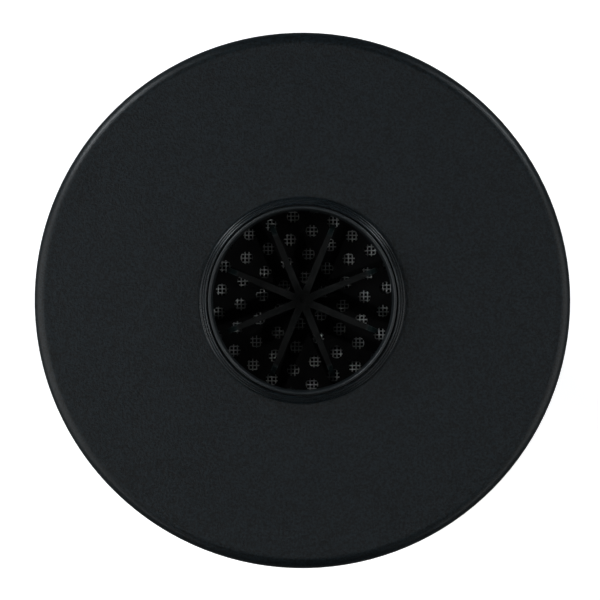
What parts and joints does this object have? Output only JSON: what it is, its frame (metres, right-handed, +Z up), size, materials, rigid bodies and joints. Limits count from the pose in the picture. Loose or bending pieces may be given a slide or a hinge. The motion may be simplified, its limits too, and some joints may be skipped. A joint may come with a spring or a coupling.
{
  "type": "food waste disposer",
  "caption": "Under-sink food waste disposer with a stepped collar and throat, breaker wheel over a perforated turntable, swivel lugs, drain elbow, motor and reset button.",
  "frame": {"origin": "centre of the base plane, on the shaft axis", "axes": "+Z up along the shaft to the throat, +X towards the drain elbow, -X towards the dishwasher inlet"},
  "size_m": [0.23, 0.23, 0.3],
  "materials": {
    "cover_plastic": "fine moulded grain, satin black",
    "shell_plastic": "fine moulded grain, satin black",
    "chamber_plastic": "glass-filled black moulding",
    "table_black": "black coated steel",
    "blade_steel": "dark steel, ground edges",
    "stainless": "satin",
    "screen_wire": "woven wire",
    "grind_alloy": "cast and machined",
    "zinc_screws": "zinc plated",
    "die_cast": "as cast",
    "can_steel": "grey painted steel",
    "lamination": "stamped laminations",
    "enamel_copper": "enamelled copper wire",
    "bronze": "sintered, oiled",
    "soft_rubber": "moulded rubber",
    "foam": "open cell foam",
    "phenolic": "brown phenolic board",
    "nylon": "natural nylon",
    "wire_jackets": "wire insulation",
    "red_plastic": "moulded red",
    "green_screw": "green dyed"
  },
  "bodies": {
    "housing": {"top_cover": "cover_plastic", "neck_seal": "soft_rubber", "side_shell": "shell_plastic", "under_pan": "shell_plastic", "shell_screws": "zinc_screws", "sound_liner": "foam", "inlet_well": "chamber_plastic", "inlet_plug": "chamber_plastic", "grind_chamber": "chamber_plastic", "grind_ring": "grind_alloy", "chamber_gasket": "soft_rubber", "chamber_screws": "zinc_screws", "drain_chamber": "chamber_plastic", "shaft_seal": "soft_rubber", "elbow_gasket": "soft_rubber", "discharge_elbow": "chamber_plastic", "elbow_flange": "zinc_screws", "elbow_screws": "zinc_screws", "upper_end_frame": "die_cast", "upper_bearing": "bronze", "motor_can": "can_steel", "stator_core": "lamination", "stator_windings": "enamel_copper", "through_bolts": "zinc_screws", "lower_end_frame": "die_cast", "lower_bearing": "bronze", "thrust_washer": "nylon", "start_switch": "phenolic", "lead_wires": "wire_jackets", "overload_protector": "phenolic", "terminal_box": "can_steel", "ground_screw": "green_screw", "bottom_cover": "shell_plastic", "bottom_screws": "zinc_screws", "wiring_cover": "zinc_screws", "cover_screw": "zinc_screws"},
    "rotor": {"motor_shaft": "stainless", "rotor_core": "lamination", "rotor_cage": "die_cast", "governor_base": "zinc_screws", "water_slinger": "soft_rubber", "turntable": "table_black", "drain_screen": "screen_wire", "screen_ring": "stainless", "screen_rivets": "stainless", "impeller_pins": "stainless", "breaker_wheel": "blade_steel", "hub_screw": "blade_steel"},
    "impeller_a": {"impeller_a": "stainless"},
    "impeller_b": {"impeller_b": "stainless"},
    "governor_collar": {"governor_collar": "nylon"},
    "reset_button": {"reset_button": "red_plastic"}
  },
  "joints": [
    {"name": "rotor_spin", "type": "hinge", "parent": "housing", "child": "rotor", "pos_m": [0, 0, 0.1], "axis": [0, 0, 1], "continuous": true},
    {"name": "impeller_a_swivel", "type": "hinge", "parent": "rotor", "child": "impeller_a", "pos_m": [0.0575, 0, 0.195], "axis": [0, 0, 1], "continuous": true},
    {"name": "impeller_b_swivel", "type": "hinge", "parent": "rotor", "child": "impeller_b", "pos_m": [-0.0575, 0, 0.195], "axis": [0, 0, 1], "continuous": true},
    {"name": "governor_slide", "type": "slide", "parent": "rotor", "child": "governor_collar", "axis": [0, 0, 1], "range_m": [0, 0.003], "stiffness_N_per_m": 600, "springref_m": -0.004},
    {"name": "reset_press", "type": "slide", "parent": "housing", "child": "reset_button", "axis": [0, 0, 1], "range_m": [0, 0.0025], "stiffness_N_per_m": 600, "springref_m": -0.004}
  ]
}
